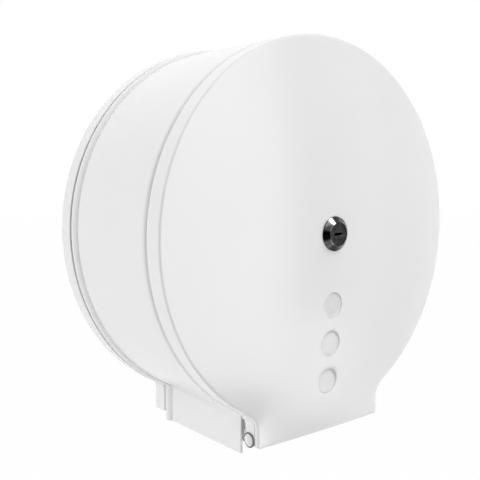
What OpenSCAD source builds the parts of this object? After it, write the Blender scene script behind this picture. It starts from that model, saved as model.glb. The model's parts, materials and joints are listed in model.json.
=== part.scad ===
// Jumbo toilet roll dispenser: a round sheet steel drum for the wall, with a domed cover
// that opens forward on two rivets, a central cam lock and a fixed spindle with a turning hub.
// The origin is on the wall, on the drum's axis. X is to the right, Y into the wall, Z up.
// Every piece is drawn lying on its back, with "depth" counted from the wall along +Z,
// and is stood up against the wall by on_wall().

/* [Sheet steel] */
// Thickness of the sheet that the drum, the back plate and the cover are made of
sheet = 1; // [0.8:0.1:1.2]
// Thickness of the hinge brackets
bracket_t = 1.5; // [1.2:0.1:2]

/* [Drum casing] */
// Radius of the drum casing, outside
drum_r = 125.2; // [120:0.2:130]
// Depth of the casing's front edge from the wall
drum_depth = 100.6; // [96:0.2:106]
// How far the casing's rear edge flares out where it sleeves over the back plate
flare = 2; // [1.8:0.1:2.6]
// Depth at which the flared edge begins
flare_start = 13; // [12.6:0.2:14]
// Depth up to which the flared edge is straight
flare_flat = 15; // [14.4:0.2:16]
// Depth at which the flare has run down to the drum wall
flare_end = 19.6; // [18.6:0.2:23]
// Radius of the rolled front edge
curl_r = 3; // [2.5:0.1:4]
// Width of the flange inside the rolled front edge
flange_w = 8; // [6:0.5:9]

/* [Chute] */
// Half the width of the chute across the outside of its side panels
panel_x = 54.6; // [50:0.2:60]
// Height of the side panels' lower edge below the hinge line
panel_drop = 11.7; // [9.7:0.1:17.7]
// Radius of the bend between the drum and a side panel
panel_bend = 6; // [4:0.5:10]
// Depth of the side panels' front edge
panel_front = 99.2; // [97:0.2:100]

/* [Back plate] */
// How far the back plate's rim stands out past the casing's flared edge
plate_proud = 0.2; // [0:0.1:0.6]
// Depth of the back plate's rim
plate_rim = 11.4; // [9:0.2:12]
// Radius of the rounded edge between the back plate's floor and its rim
plate_round = 1.6; // [1.3:0.1:3]
// Height of the tab's lower edge below the hinge line
tab_drop = 5.7; // [0.7:0.1:8.7]
// Radius of the raised boss that carries the spindle
boss_r = 46; // [40:1:52]
// Height of the raised boss
boss_h = 4; // [3:0.5:5]
// Distance between the wall screws, sideways
wall_x = 140; // [120:5:160]
// Distance between the wall screws, up and down
wall_z = 120; // [110:5:130]
// Radius of a wall screw hole
wall_hole_r = 3; // [2:0.25:4]

/* [Cover] */
// Radius of the round cover, outside
cover_r = 125; // [120:0.5:130]
// Gap between the casing's front edge and the cover's rim
rim_gap = 1.1; // [0.8:0.1:2]
// Depth of the cover's rim
rim_depth = 13.2; // [11:0.2:16]
// How far the middle of the domed face stands in front of the rim's edge
dome_h = 10.7; // [8:0.1:13]
// Height below the axis at which the dome runs out into the straight apron
dome_end = 80; // [70:1:90]
// Half the width of the apron
apron_x = 55; // [50.5:0.5:60]
// Height of the apron's lower edge below the hinge line
apron_drop = 4.1; // [2.7:0.1:5.7]
// Radius of the hollow corner between the round rim and the apron
apron_bend = 13; // [8:0.5:16]
// Radius of the lower rear corner of the apron's side walls
lug_round = 5.6; // [3:0.2:6]
// Height of the hem folded behind the apron's lower edge
hem_h = 6; // [4:0.5:7]

/* [Level holes] */
// Diameter of a viewing hole
level_d = 16.5; // [12:0.5:20]
// Distance between two viewing holes
level_pitch = 25.4; // [22:0.2:27]
// Height of the middle viewing hole below the axis
level_drop = 71.5; // [68:0.5:74]
// Number of viewing holes
level_count = 3; // [1:1:3]
// Width of the strip behind the holes
strip_w = 30; // [24:1:40]
// Thickness of the strip
strip_t = 1.5; // [1:0.1:2]

/* [Cover hinge] */
// Depth of the hinge line from the wall
hinge_depth = 106.8; // [106.5:0.1:108]
// Height of the hinge line below the lowest point of the round drum and cover
hinge_drop = 2.1; // [1.8:0.1:2.6]
// Diameter of the rivet's shoulder
shoulder_d = 5; // [4:0.25:6]
// Diameter of the rivet's tail
tail_d = 4; // [3:0.25:4.5]
// Diameter of the rivet's domed head
rivet_head_d = 7.6; // [7:0.2:8.4]
// Height of the rivet's domed head
rivet_head_h = 1.9; // [1.2:0.1:2.4]
// Thickness of the washer under the rivet's head
head_washer_t = 0.6; // [0.4:0.1:1]

/* [Spindle] */
// Radius of the spindle post, outside
post_r = 16; // [14:0.5:18]
// Wall of the spindle post
post_wall = 1.5; // [1.2:0.1:2]
// Depth of the post's front end
post_depth = 98; // [96:0.5:98.5]
// Radius of the spindle's base
base_r = 36; // [32:0.5:38]
// Thickness of the spindle's base
base_t = 2; // [1.5:0.1:3]
// Number of rivets that hold the base
base_rivets_n = 4; // [3:1:6]
// Radius of the hub's outside, which takes the roll's core
hub_r = 21.5; // [20:0.5:24]
// Length of the hub
hub_len = 82; // [70:1:84]
// Thickness of the hub's walls
hub_wall = 1.4; // [1.2:0.1:1.8]
// Number of ribs between the hub's two sleeves
hub_ribs = 6; // [4:1:10]
// Radius of the hub's rear flange
hub_flange_r = 29; // [26:0.5:32]

/* [Lock] */
// Radius of the lock's bezel at the cover
bezel_r = 11; // [10:0.2:12.5]
// Radius of the bezel's front edge
bezel_front_r = 8.2; // [7.8:0.1:9]
// How far the bezel stands in front of the cover
bezel_h = 3.2; // [2:0.1:4]
// Radius of the lock's barrel
barrel_r = 9; // [8.4:0.1:9.6]
// Radius of the lock's plug
plug_r = 6.4; // [5.5:0.1:6.8]
// Length of the barrel behind the cover
barrel_len = 21; // [18:0.5:22]
// Width of the keyway
key_w = 7.6; // [6:0.2:9]
// Height of the keyway
key_h = 1.8; // [1.2:0.1:2.4]
// Length of the cam from tip to tip
cam_len = 25; // [22:0.5:27]
// Width of the cam
cam_w = 7; // [6:0.25:8]
// Thickness of the cam
cam_t = 2; // [1.5:0.1:2.5]
// Number of wafers in the plug
wafer_count = 4; // [2:1:5]

/* [Tear strips] */
// Height of a tear strip
tear_h = 14; // [10:0.5:16]
// Thickness of a tear strip
tear_t = 0.8; // [0.5:0.1:1]
// Distance between two teeth
tooth_pitch = 3; // [2:0.25:4]
// Height of a tooth
tooth_h = 2; // [1:0.25:2.5]

/* [Hidden] */
$fn = 96;

WHITE = [0.93, 0.93, 0.93];
GREY = [0.45, 0.46, 0.48];
CHROME = [0.3, 0.3, 0.32];
ZINC = [0.72, 0.73, 0.75];
OPAL = [0.88, 0.89, 0.9];
NYLON = [0.2, 0.2, 0.2];

// Clearances: a running fit, a loose fit, and a seat between pieces that don't move
run = 0.05;
play = 0.1;
seat = 0.05;
// How far one cut or solid reaches past another, so that no face is shared
over = 1;
// How far a bend stands out past its neighbours, and overlaps them, so that no faces coincide
lap = 0.05;
lap_len = 0.3;
// Bevel on the cut edge of the flare
edge_break = 0.2;
// Flats along a small arc of a swept profile, and sides of the very large circles of the dome
ARC_STEPS = 5;
DOME_FN = 720;

// Heights below the axis that follow the larger of the drum and the cover
hinge_z = max(drum_r, cover_r) + hinge_drop;
apron_z = hinge_z + apron_drop;
panel_z = hinge_z + panel_drop;
tab_z = hinge_z + tab_drop;
// How far the dome's surfaces are drawn from its middle, before they are cut to the outline
dome_reach = cover_r + apron_z / 4;

// Casing: the flare is an arc that leaves the straight edge smoothly and meets the wall at an angle
flare_arc = (pow(flare_end - flare_flat, 2) + pow(flare, 2)) / (2 * flare);
drum_bend_y = bend_y(drum_r, panel_x, panel_bend);
panel_in = panel_x - sheet;
hem_in = panel_x - 2 * sheet;
hem_back = 7;

// Back plate: its neck goes inside the casing's flare
neck_gap = 0.2;
plate_r = drum_r + flare + plate_proud;
tab_x = panel_x + flare + plate_proud;
plate_bend = panel_bend - flare - plate_proud;
neck_n = -plate_proud - sheet - neck_gap;
neck_lap = 0.6;
neck_end = flare_flat + neck_lap;
boss_slope = 4;
boss_top = boss_h + sheet;

// Cover: a ball's surface that runs out into a cylinder of the same radius over the apron
rim_start = drum_depth + rim_gap;
rim_front = rim_start + rim_depth;
face_front = rim_front + dome_h;
face_back = face_front - sheet;
ball_r = (pow(cover_r, 2) + pow(dome_h, 2)) / (2 * dome_h);
ball_depth = face_front - ball_r;
apron_tilt = asin(dome_end / ball_r);
apron_bend_y = bend_y(cover_r, apron_x, apron_bend);
lug_in = apron_x - sheet;
lug_back = rim_start + sheet;
hem_leg = 4;
stud_r = 1.5;
stud_len = 6;
stud_from_hole = 14;
stud_drops = [
    for (s = [-1, 1]) level_drop + s * (level_pitch * (level_count - 1) / 2 + stud_from_hole)
];
strip_end = 6;
strip_nut_w = 5.5;
strip_nut_t = 2.4;
strip_nut_gap = 0.5;

// Tear strips, between the flare and the hinge brackets
tear_back_gap = 2;
tear_front_gap = 0.5;
tear_tip = 0.3;

// Cover hinge: the bracket's lower edge steps up behind its nose, out of the opening cover's way
nose_r = 4.4;
nose_step = 0.6;
weld_leg = 7.5;
weld_gap = 1.4;
spacer_in = 0.2;
hem_side_gap = 0.6;
hem_x = hem_in - bracket_t - hem_side_gap;
head_seat = apron_x + play + head_washer_t;
washer_r = rivet_head_d / 2 + 0.5;
tail_h = 1.2;

// Spindle
post_in = post_r - post_wall;
base_front = boss_top + base_t;
base_rivet_out = 2;
base_rivet_ring = (base_r + post_r) / 2 + base_rivet_out;
base_spigot = 3;
hub_gap = 2;
hub_back = base_front + hub_gap;
hub_front = hub_back + hub_len;
ring_t = 1.5;
ring_groove = 0.7;
ring_gap = 0.4;
ring_out = 2.4;
ring_back = hub_front + ring_gap;
plate_t = 1.5;

// Lock
bezel_front = face_front + bezel_h;
barrel_back = face_back - barrel_len;
barrel_flat = barrel_r - 1.2;
barrel_gap = 0.15;
plug_front = bezel_front - 0.5;
shaft_r = plug_r - 2;
shaft_square = 5;
cam_front = post_depth - 0.6;
cam_back = cam_front - cam_t;
cam_washer_t = 0.8;
screw_r = 1.9;
screw_head_r = 3.4;
screw_head_h = 2;
slot_w = cam_w + 3;
slot_len = cam_len + 2;
slot_hole_r = shaft_r + 1.6;
wafer_t = 0.9;
wafer_long = key_w + 2.4;
wafer_wide = key_h + 4.4;
wafer_step = 2.6;
key_depth = wafer_step * (wafer_count + 1) + 2;
nut_across = 2 * barrel_r + 5;
nut_t = 4;
lock_washer_t = 0.8;

// Height of the centre of the bend between a circle of radius r and a side at x
function bend_y(r, x, b) = -sqrt(pow(r + b, 2) - pow(x + b, 2));
// Angle below the horizontal at which the circle runs into the bend
function bend_angle(r, x, b) = acos((x + b) / (r + b));
// Depth of the cover's face on the centre line, at a drop below the axis
function face_at(drop) = drop <= dome_end
    ? ball_depth + sqrt(pow(ball_r, 2) - pow(drop, 2))
    : face_at(dome_end) - (drop - dome_end) * tan(apron_tilt);

// Points along an arc round a centre, from one angle to another
function arc(centre, r, from, to) = [
    for (i = [0 : ARC_STEPS]) let (a = from + (to - from) * i / ARC_STEPS)
        centre + r * [cos(a), sin(a)]
];

// Stands what lies on its back up against the wall: depth along +Z becomes -Y
module on_wall() {
    rotate([90, 0, 0]) children();
}

// The same on the right and, mirrored, on the left
module both_sides() {
    children();
    mirror([1, 0, 0]) children();
}

// Plate of keyhole outline: a circle with a straight chute below it, drawn in by an inset
module keyhole(r, x, b, drop, inset, h) {
    y = bend_y(r, x, b);
    cylinder(r = r - inset, h = h);
    difference() {
        linear_extrude(height = h) polygon([
            [0, 0], [x + b, y], [x - inset, y], [x - inset, -drop],
            [inset - x, -drop], [inset - x, y], [-x - b, y]
        ]);
        both_sides() translate([x + b, y, -over]) cylinder(r = b + inset, h = h + 2 * over);
    }
}

// Sweeps a profile (distance outwards, depth) round the circle and its two bends
module round_sweep(r, x, b) {
    a = bend_angle(r, x, b);
    rotate([0, 0, -a]) rotate_extrude(angle = 180 + 2 * a) translate([r, 0]) children();
    both_sides() translate([x + b, bend_y(r, x, b), 0]) mirror([1, 0, 0])
        rotate_extrude(angle = a + lap_len / b * 180 / PI)
            translate([b - lap, 0]) mirror([1, 0]) children();
}

// Sweeps a profile down the two straight sides of the chute, between two heights
module side_sweep(x, top, bottom) {
    both_sides() translate([x, top + lap_len, 0]) rotate([90, 0, 0])
        linear_extrude(height = top + lap_len - bottom) children();
}

// Rectangle from one corner to the other
module block(from, to) {
    translate(from) square(to - from);
}

// Lays a disc or ring along X, with its flat side at x, reaching to x + t
module along_x(x, drop, depth) {
    translate([x, -drop, depth]) rotate([0, 90, 0]) children();
}

// Flat ring
module ring(r_out, r_in, t) {
    difference() {
        cylinder(r = r_out, h = t);
        translate([0, 0, -over]) cylinder(r = r_in, h = t + 2 * over);
    }
}

// ---- Back plate ----

// Rounded edge, rim, and the neck that is set in to go inside the casing's flare
module plate_profile() {
    centre = [-plate_round, plate_round];
    inner = -plate_round - over;
    polygon(concat(
        [[inner, 0]], arc(centre, plate_round, -90, 0),
        [[0, plate_rim], [neck_n, plate_rim], [neck_n, neck_end], [neck_n - sheet, neck_end]],
        [[neck_n - sheet, plate_rim - sheet], [-sheet, plate_rim - sheet]],
        arc(centre, plate_round - sheet, 0, -90), [[inner, sheet]]
    ));
}

module raised_boss() {
    rotate_extrude() polygon([
        [0, boss_h], [boss_r - boss_slope, boss_h], [boss_r, 0],
        [boss_r + sheet, 0], [boss_r + sheet, sheet],
        [boss_r - boss_slope + sheet, boss_top], [0, boss_top]
    ]);
}

module base_rivet_places() {
    for (i = [0 : base_rivets_n - 1])
        rotate([0, 0, 360 / base_rivets_n * (i + 0.5)]) translate([base_rivet_ring, 0, 0]) children();
}

module back_plate() {
    y = bend_y(plate_r, tab_x, plate_bend);
    color(WHITE) on_wall() {
        difference() {
            keyhole(plate_r, tab_x, plate_bend, tab_z, plate_round + over / 2, sheet);
            translate([0, 0, -over]) cylinder(r = boss_r + sheet / 2, h = sheet + 2 * over);
            for (sx = [-1, 1], sy = [-1, 1])
                translate([sx * wall_x / 2, sy * wall_z / 2, -over])
                    cylinder(r = wall_hole_r, h = sheet + 2 * over);
        }
        round_sweep(plate_r, tab_x, plate_bend) plate_profile();
        side_sweep(tab_x, y, -tab_z) plate_profile();
        difference() {
            raised_boss();
            base_rivet_places() translate([0, 0, boss_h - over])
                cylinder(r = tail_d / 2 + seat, h = sheet + 2 * over);
        }
    }
}

// ---- Drum casing ----

// The flared rear edge and the wall behind it, outside from the back and inside from the front
function flare_out() = concat(
    [[flare - sheet, flare_start], [flare - edge_break, flare_start], [flare, flare_start + edge_break]],
    arc([flare - flare_arc, flare_flat], flare_arc, 0, acos(1 - flare / flare_arc))
);
function flare_in() = arc([flare - flare_arc, flare_flat], flare_arc - sheet,
    acos((flare_arc - flare - sheet) / (flare_arc - sheet)), 0);

// Round the drum the front edge is rolled inwards and ends in a flange
module casing_profile() {
    centre = [-curl_r, drum_depth - curl_r];
    inner = -curl_r - flange_w;
    polygon(concat(
        flare_out(), arc(centre, curl_r, 0, 90),
        [[inner, drum_depth], [inner, drum_depth - sheet]],
        arc(centre, curl_r - sheet, 90, 0), flare_in()
    ));
}

// Down the side panels the front edge is folded into a flat hem
module panel_profile() {
    hem_end = panel_front - sheet - hem_back;
    polygon(concat(
        flare_out(), arc([-sheet, panel_front - sheet], sheet, 0, 180),
        [[-2 * sheet, hem_end], [-sheet, hem_end]], flare_in()
    ));
}

module drum_casing() {
    color(WHITE) on_wall() {
        round_sweep(drum_r, panel_x, panel_bend) casing_profile();
        side_sweep(panel_x, drum_bend_y, -panel_z) panel_profile();
    }
}

// ---- Tear strips ----

module tear_outline(length) {
    teeth = floor(length / tooth_pitch);
    points = [for (i = [0 : teeth - 1]) each [
        [i * tooth_pitch, tooth_h], [(i + 0.5) * tooth_pitch, 0]
    ]];
    polygon(concat([[0, tear_h]], points, [[teeth * tooth_pitch, tooth_h], [teeth * tooth_pitch, tear_h]]));
}

module tear_strip() {
    back = flare_end + tear_back_gap;
    front = panel_front - sheet - hem_back - tear_front_gap;
    translate([panel_in - tear_t, tear_tip - panel_z, back]) rotate([0, -90, 0]) mirror([0, 0, 1])
        linear_extrude(height = tear_t) tear_outline(front - back);
}

module tear_strip_right() {
    color(ZINC) on_wall() tear_strip();
}

module tear_strip_left() {
    color(ZINC) on_wall() mirror([1, 0, 0]) tear_strip();
}

// ---- Cover hinge ----

module hinge_bracket() {
    back = panel_front - sheet - hem_back;
    along_x(hem_in - bracket_t, 0, 0) mirror([1, 0, 0]) difference() {
        linear_extrude(height = bracket_t) {
            translate([hinge_depth, -hinge_z]) circle(nose_r);
            block([back, nose_step - nose_r - hinge_z], [hinge_depth, nose_r - hinge_z]);
            block([back, -hinge_z], [back + weld_leg, drum_bend_y - weld_gap]);
        }
        translate([hinge_depth, -hinge_z, -over])
            cylinder(r = tail_d / 2 + seat, h = bracket_t + 2 * over);
    }
}

module hinge_bracket_right() {
    color(WHITE) on_wall() hinge_bracket();
}

module hinge_bracket_left() {
    color(WHITE) on_wall() mirror([1, 0, 0]) hinge_bracket();
}

// Domed head, shoulder that the cover turns on, and the tail closed over the bracket
module hinge_rivet() {
    head_r = rivet_head_d / 2;
    dome_r = (pow(head_r, 2) + pow(rivet_head_h, 2)) / (2 * rivet_head_h);
    along_x(head_seat, hinge_z, hinge_depth) intersection() {
        translate([0, 0, rivet_head_h - dome_r]) sphere(dome_r);
        cylinder(r = head_r + over, h = rivet_head_h + over);
    }
    along_x(hem_in, hinge_z, hinge_depth) cylinder(r = shoulder_d / 2, h = head_seat - hem_in);
    along_x(hem_in - bracket_t, hinge_z, hinge_depth) cylinder(r = tail_d / 2, h = bracket_t);
    along_x(hem_in - bracket_t - tail_h, hinge_z, hinge_depth)
        cylinder(r = shoulder_d / 2 + over, h = tail_h);
}

module hinge_rivet_right() {
    color(WHITE) on_wall() hinge_rivet();
}

module hinge_rivet_left() {
    color(WHITE) on_wall() mirror([1, 0, 0]) hinge_rivet();
}

module hinge_washers() {
    color(NYLON) on_wall() both_sides() along_x(apron_x + play, hinge_z, hinge_depth)
        ring(washer_r, shoulder_d / 2 + run, head_washer_t);
}

module hinge_spacers() {
    color(NYLON) on_wall() both_sides() along_x(hem_in, hinge_z, hinge_depth)
        ring(nose_r - spacer_in, shoulder_d / 2 + run, lug_in - play - hem_in);
}

// ---- Spindle ----

module spindle_base() {
    color(ZINC) on_wall() difference() {
        union() {
            translate([0, 0, boss_top]) cylinder(r = base_r, h = base_t);
            translate([0, 0, base_front]) cylinder(r = post_in - seat, h = base_spigot);
        }
        base_rivet_places() translate([0, 0, boss_top - over])
            cylinder(r = tail_d / 2 + seat, h = base_t + 2 * over);
    }
}

module spindle_rivets() {
    color(ZINC) on_wall() base_rivet_places() {
        translate([0, 0, boss_h - tail_h]) cylinder(r = tail_d * 0.75, h = tail_h);
        translate([0, 0, boss_h]) cylinder(r = tail_d / 2, h = sheet + base_t);
        translate([0, 0, base_front]) cylinder(r1 = tail_d * 0.9, r2 = tail_d * 0.6, h = tail_h);
    }
}

module spindle_post() {
    color(ZINC) on_wall() difference() {
        translate([0, 0, base_front]) ring(post_r, post_in, post_depth - base_front);
        translate([0, 0, ring_back - play])
            ring(post_r + over, post_r - ring_groove, ring_t + 2 * play);
    }
}

module catch_plate() {
    color(ZINC) on_wall() translate([0, 0, post_depth]) difference() {
        cylinder(r = post_r, h = plate_t);
        translate([0, 0, -over]) linear_extrude(height = plate_t + 2 * over) {
            circle(slot_hole_r);
            square([slot_len - slot_w, slot_w], center = true);
            both_sides() translate([(slot_len - slot_w) / 2, 0]) circle(slot_w / 2);
        }
    }
}

module hub_ring() {
    opening = 50;
    color(ZINC) on_wall() translate([0, 0, ring_back]) rotate([0, 0, -90 + opening / 2])
        rotate_extrude(angle = 360 - opening)
            block([post_r - ring_groove + seat, 0], [post_r + ring_out, ring_t]);
}

// ---- Roll hub ----

module roll_hub() {
    sleeve_r = post_r + run + hub_wall;
    rib_t = 1.4;
    web_t = 2;
    ease = 2;
    color(OPAL) on_wall() translate([0, 0, hub_back]) {
        ring(sleeve_r, post_r + run, hub_len);
        ring(hub_r, hub_r - hub_wall, hub_len - ease);
        translate([0, 0, hub_len - ease]) difference() {
            cylinder(r1 = hub_r, r2 = hub_r - hub_wall / 2, h = ease);
            translate([0, 0, -over]) cylinder(r = hub_r - hub_wall, h = ease + 2 * over);
        }
        ring(hub_flange_r, post_r + run, web_t);
        for (i = [0 : hub_ribs - 1]) rotate([0, 0, 360 / hub_ribs * i])
            translate([sleeve_r - hub_wall / 2, -rib_t / 2, 0])
                cube([hub_r - sleeve_r, rib_t, hub_len - ease]);
    }
}

// ---- Front cover ----

// Slice of a disc with the dome's radius, from its edge down to behind the rim
module dome_slice(r) {
    intersection() {
        circle(r, $fn = DOME_FN);
        block([-dome_reach, ball_r - rim_depth - dome_h - 2 * sheet], [dome_reach, r + over]);
    }
}

// The dome runs out, below dome_end, into a cylinder of the ball's own radius
module dome_run(r) {
    translate([0, 0, ball_depth]) rotate([apron_tilt, 0, 0]) rotate([90, 0, 0])
        linear_extrude(height = dome_reach) dome_slice(r);
}

module dome_solid(r) {
    translate([0, 0, ball_depth]) rotate([apron_tilt, 0, 0]) rotate([0, -90, 0])
        rotate_extrude(angle = 2 * apron_tilt + asin(cover_r / ball_r), $fn = DOME_FN)
            rotate([0, 0, -90]) dome_slice(r);
    dome_run(r);
}

// Rim's rear edge, folded in round the circle and its bends
module cover_hem_profile() {
    back = rim_start + sheet;
    polygon(concat(
        arc([-sheet - lap / 2, back], sheet - lap / 2, 0, -180),
        [[-2 * sheet, back + hem_leg], [-lap, back + hem_leg]]
    ));
}

module cover_body(inset, back, drop) {
    intersection() {
        translate([0, 0, back])
            keyhole(cover_r, apron_x, apron_bend, drop, inset, face_front + over - back);
        dome_solid(ball_r - inset);
    }
}

module cover_shell() {
    difference() {
        cover_body(0, rim_start + sheet, apron_z);
        cover_body(sheet, rim_start, apron_z + over);
    }
}

module apron_hem() {
    intersection() {
        translate([-hem_x, -apron_z, rim_start]) cube([2 * hem_x, hem_h, rim_depth + dome_h]);
        difference() {
            dome_run(ball_r - sheet / 2);
            dome_run(ball_r - 2 * sheet);
        }
    }
}

// What is cut away to round the lower rear corner of the side walls
module lug_corner() {
    both_sides() along_x(lug_in - over, 0, 0) mirror([1, 0, 0])
        linear_extrude(height = sheet + 2 * over) difference() {
            block([lug_back - over, -apron_z - over], [lug_back + lug_round, lug_round - apron_z]);
            translate([lug_back + lug_round, lug_round - apron_z]) circle(lug_round);
        }
}

module barrel_outline(gap) {
    intersection() {
        circle(barrel_r + gap);
        square([2 * barrel_r + 2 * over, 2 * (barrel_flat + gap)], center = true);
    }
}

module front_cover() {
    color(WHITE) on_wall() {
        difference() {
            union() {
                cover_shell();
                apron_hem();
            }
            for (i = [0 : level_count - 1])
                translate([0, level_pitch * (i - (level_count - 1) / 2) - level_drop, rim_front - over])
                    cylinder(d = level_d, h = dome_h + 2 * over);
            translate([0, 0, face_back - over]) linear_extrude(height = sheet + 2 * over)
                barrel_outline(barrel_gap);
            both_sides() along_x(lug_in - over, hinge_z, hinge_depth)
                cylinder(r = shoulder_d / 2 + run, h = sheet + 2 * over);
            lug_corner();
        }
        round_sweep(cover_r, apron_x, apron_bend) cover_hem_profile();
        for (drop = stud_drops) translate([0, -drop, face_at(drop) - sheet / 2 - stud_len])
            cylinder(r = stud_r, h = stud_len);
    }
}

// ---- Level strip ----

module level_strip() {
    top = stud_drops[0] - strip_end;
    bottom = stud_drops[1] + strip_end;
    color(OPAL) on_wall() difference() {
        intersection() {
            translate([-strip_w / 2, -bottom, rim_start]) cube([strip_w, bottom - top, rim_depth + dome_h]);
            dome_solid(ball_r - sheet - seat);
        }
        dome_solid(ball_r - sheet - strip_t);
        for (drop = stud_drops) translate([0, -drop, rim_start])
            cylinder(r = stud_r + play, h = rim_depth + dome_h);
    }
}

module strip_nuts() {
    color(ZINC) on_wall() for (drop = stud_drops)
        translate([0, -drop, face_at(drop) - sheet - strip_t - strip_nut_gap - strip_nut_t])
            difference() {
                cylinder(d = strip_nut_w / cos(30), h = strip_nut_t, $fn = 6);
                translate([0, 0, -over])
                    cylinder(r = stud_r + seat, h = strip_nut_t + 2 * over);
            }
}

// ---- Lock ----

module lock_housing() {
    color(CHROME) on_wall() difference() {
        union() {
            translate([0, 0, face_front]) cylinder(r1 = bezel_r, r2 = bezel_front_r, h = bezel_h);
            translate([0, 0, barrel_back]) linear_extrude(height = face_front - barrel_back)
                barrel_outline(0);
        }
        translate([0, 0, barrel_back - over])
            cylinder(r = plug_r + run, h = bezel_front - barrel_back + 2 * over);
    }
}

module lock_washer() {
    color(ZINC) on_wall() translate([0, 0, face_back - 0.2 - lock_washer_t])
        ring(nut_across / 2 + 1, barrel_r + seat, lock_washer_t);
}

module lock_nut() {
    color(ZINC) on_wall() translate([0, 0, face_back - 0.2 - lock_washer_t - nut_t]) difference() {
        cylinder(d = nut_across / cos(30), h = nut_t, $fn = 6);
        translate([0, 0, -over]) cylinder(r = barrel_r + seat, h = nut_t + 2 * over);
    }
}

module wafer_places() {
    for (i = [1 : wafer_count]) translate([0, 0, plug_front - 2 - i * wafer_step]) children();
}

module plate_at_centre(long, wide, t) {
    translate([-long / 2, -wide / 2, 0]) cube([long, wide, t]);
}

module lock_plug() {
    color(CHROME) on_wall() difference() {
        union() {
            translate([0, 0, barrel_back]) cylinder(r = plug_r, h = plug_front - barrel_back);
            translate([0, 0, cam_front]) cylinder(r = shaft_r, h = barrel_back - cam_front);
            translate([0, 0, cam_back]) plate_at_centre(shaft_square, shaft_square, cam_t);
        }
        translate([0, 0, plug_front - key_depth]) plate_at_centre(key_w, key_h, key_depth + over);
        wafer_places() translate([0, 0, -play])
            plate_at_centre(wafer_long + 2 * play, wafer_wide + 2 * play, wafer_t + 2 * play);
        translate([0, 0, cam_back - over]) cylinder(r = screw_r + seat, h = 7 + over);
    }
}

module lock_wafers() {
    color(ZINC) on_wall() wafer_places() difference() {
        plate_at_centre(wafer_long, wafer_wide, wafer_t);
        translate([0, 0, -over]) plate_at_centre(key_w + 2 * play, key_h + 2 * play, wafer_t + 2 * over);
    }
}

module lock_cam() {
    color(ZINC) on_wall() translate([0, 0, cam_back]) difference() {
        union() {
            plate_at_centre(cam_len - cam_w, cam_w, cam_t);
            both_sides() translate([(cam_len - cam_w) / 2, 0, 0]) cylinder(r = cam_w / 2, h = cam_t);
        }
        translate([0, 0, -over])
            plate_at_centre(shaft_square + 2 * seat, shaft_square + 2 * seat, cam_t + 2 * over);
    }
}

module cam_washer() {
    color(ZINC) on_wall() translate([0, 0, cam_back - cam_washer_t])
        ring(shaft_r, screw_r + seat, cam_washer_t);
}

module cam_screw() {
    color(ZINC) on_wall() translate([0, 0, cam_back - cam_washer_t - screw_head_h]) {
        difference() {
            cylinder(r = screw_head_r, h = screw_head_h);
            translate([0, 0, -over]) cylinder(r = screw_r, h = screw_head_h / 2 + over, $fn = 6);
        }
        translate([0, 0, screw_head_h]) cylinder(r = screw_r, h = cam_washer_t + 5.5);
    }
}

back_plate();
drum_casing();
tear_strip_left();
tear_strip_right();
hinge_bracket_left();
hinge_bracket_right();
hinge_rivet_left();
hinge_rivet_right();
hinge_washers();
hinge_spacers();
spindle_base();
spindle_rivets();
spindle_post();
catch_plate();
hub_ring();
roll_hub();
front_cover();
level_strip();
strip_nuts();
lock_housing();
lock_washer();
lock_nut();
lock_plug();
lock_wafers();
lock_cam();
cam_washer();
cam_screw();
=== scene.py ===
"""Looks of the jumbo toilet roll dispenser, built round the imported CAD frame.

Sizes are in millimetres up to the point where a mesh is made. A place is (x, z) on the wall's
plane, and "depth" is the distance from the wall, which is -Y in Blender. A profile is a list of
(offset, depth) points, with the offset measured outwards from the outline that it follows.
"""

import json
import math

import bmesh
import bpy
import numpy as np
from mathutils import Matrix, Vector
from mathutils.geometry import delaunay_2d_cdt


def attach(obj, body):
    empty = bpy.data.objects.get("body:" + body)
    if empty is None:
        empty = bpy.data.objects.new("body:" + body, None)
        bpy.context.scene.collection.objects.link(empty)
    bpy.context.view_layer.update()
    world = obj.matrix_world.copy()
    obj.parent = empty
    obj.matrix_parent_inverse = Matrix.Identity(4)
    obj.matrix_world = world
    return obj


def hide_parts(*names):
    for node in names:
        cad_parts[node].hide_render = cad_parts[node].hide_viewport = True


MM = 0.001
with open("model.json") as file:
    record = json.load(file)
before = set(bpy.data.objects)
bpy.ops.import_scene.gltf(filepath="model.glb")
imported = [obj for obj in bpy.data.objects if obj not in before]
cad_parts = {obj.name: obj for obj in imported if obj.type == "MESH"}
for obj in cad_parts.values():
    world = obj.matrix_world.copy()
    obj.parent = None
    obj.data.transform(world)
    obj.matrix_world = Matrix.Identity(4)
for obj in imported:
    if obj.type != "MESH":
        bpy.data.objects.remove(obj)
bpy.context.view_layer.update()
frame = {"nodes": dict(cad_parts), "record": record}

# ---- Sizes, from the CAD unless a comment says otherwise ----

SHEET = 1.0
# Drum casing. The panels' front edge and the start of the flare differ a little from the CAD's.
DRUM_R, PANEL_X, PANEL_BEND, PANEL_END = 125.2, 54.6, 6.0, 139.0
DRUM_FRONT, PANEL_FRONT = 100.6, 97.6
FLARE, FLARE_START, FLARE_FLAT, FLARE_END = 2.0, 13.6, 15.4, 19.6
CURL_R, FLANGE_W, HEM_BACK = 3.0, 8.0, 7.0
PANEL_FOLD_R = 1.04
# Shape of the flare's lip and of the fine groove at its end: how far in or out, and how far on
FLARE_LIP = ((SHEET, 0.0), (0.6, 0.02), (0.3, 0.25), (0.1, 0.7), (0.02, 1.2))
FLARE_GROOVE = ((0.02, -0.08), (-0.1, 0.02), (-0.04, 0.16), (0.0, 0.22))
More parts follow.
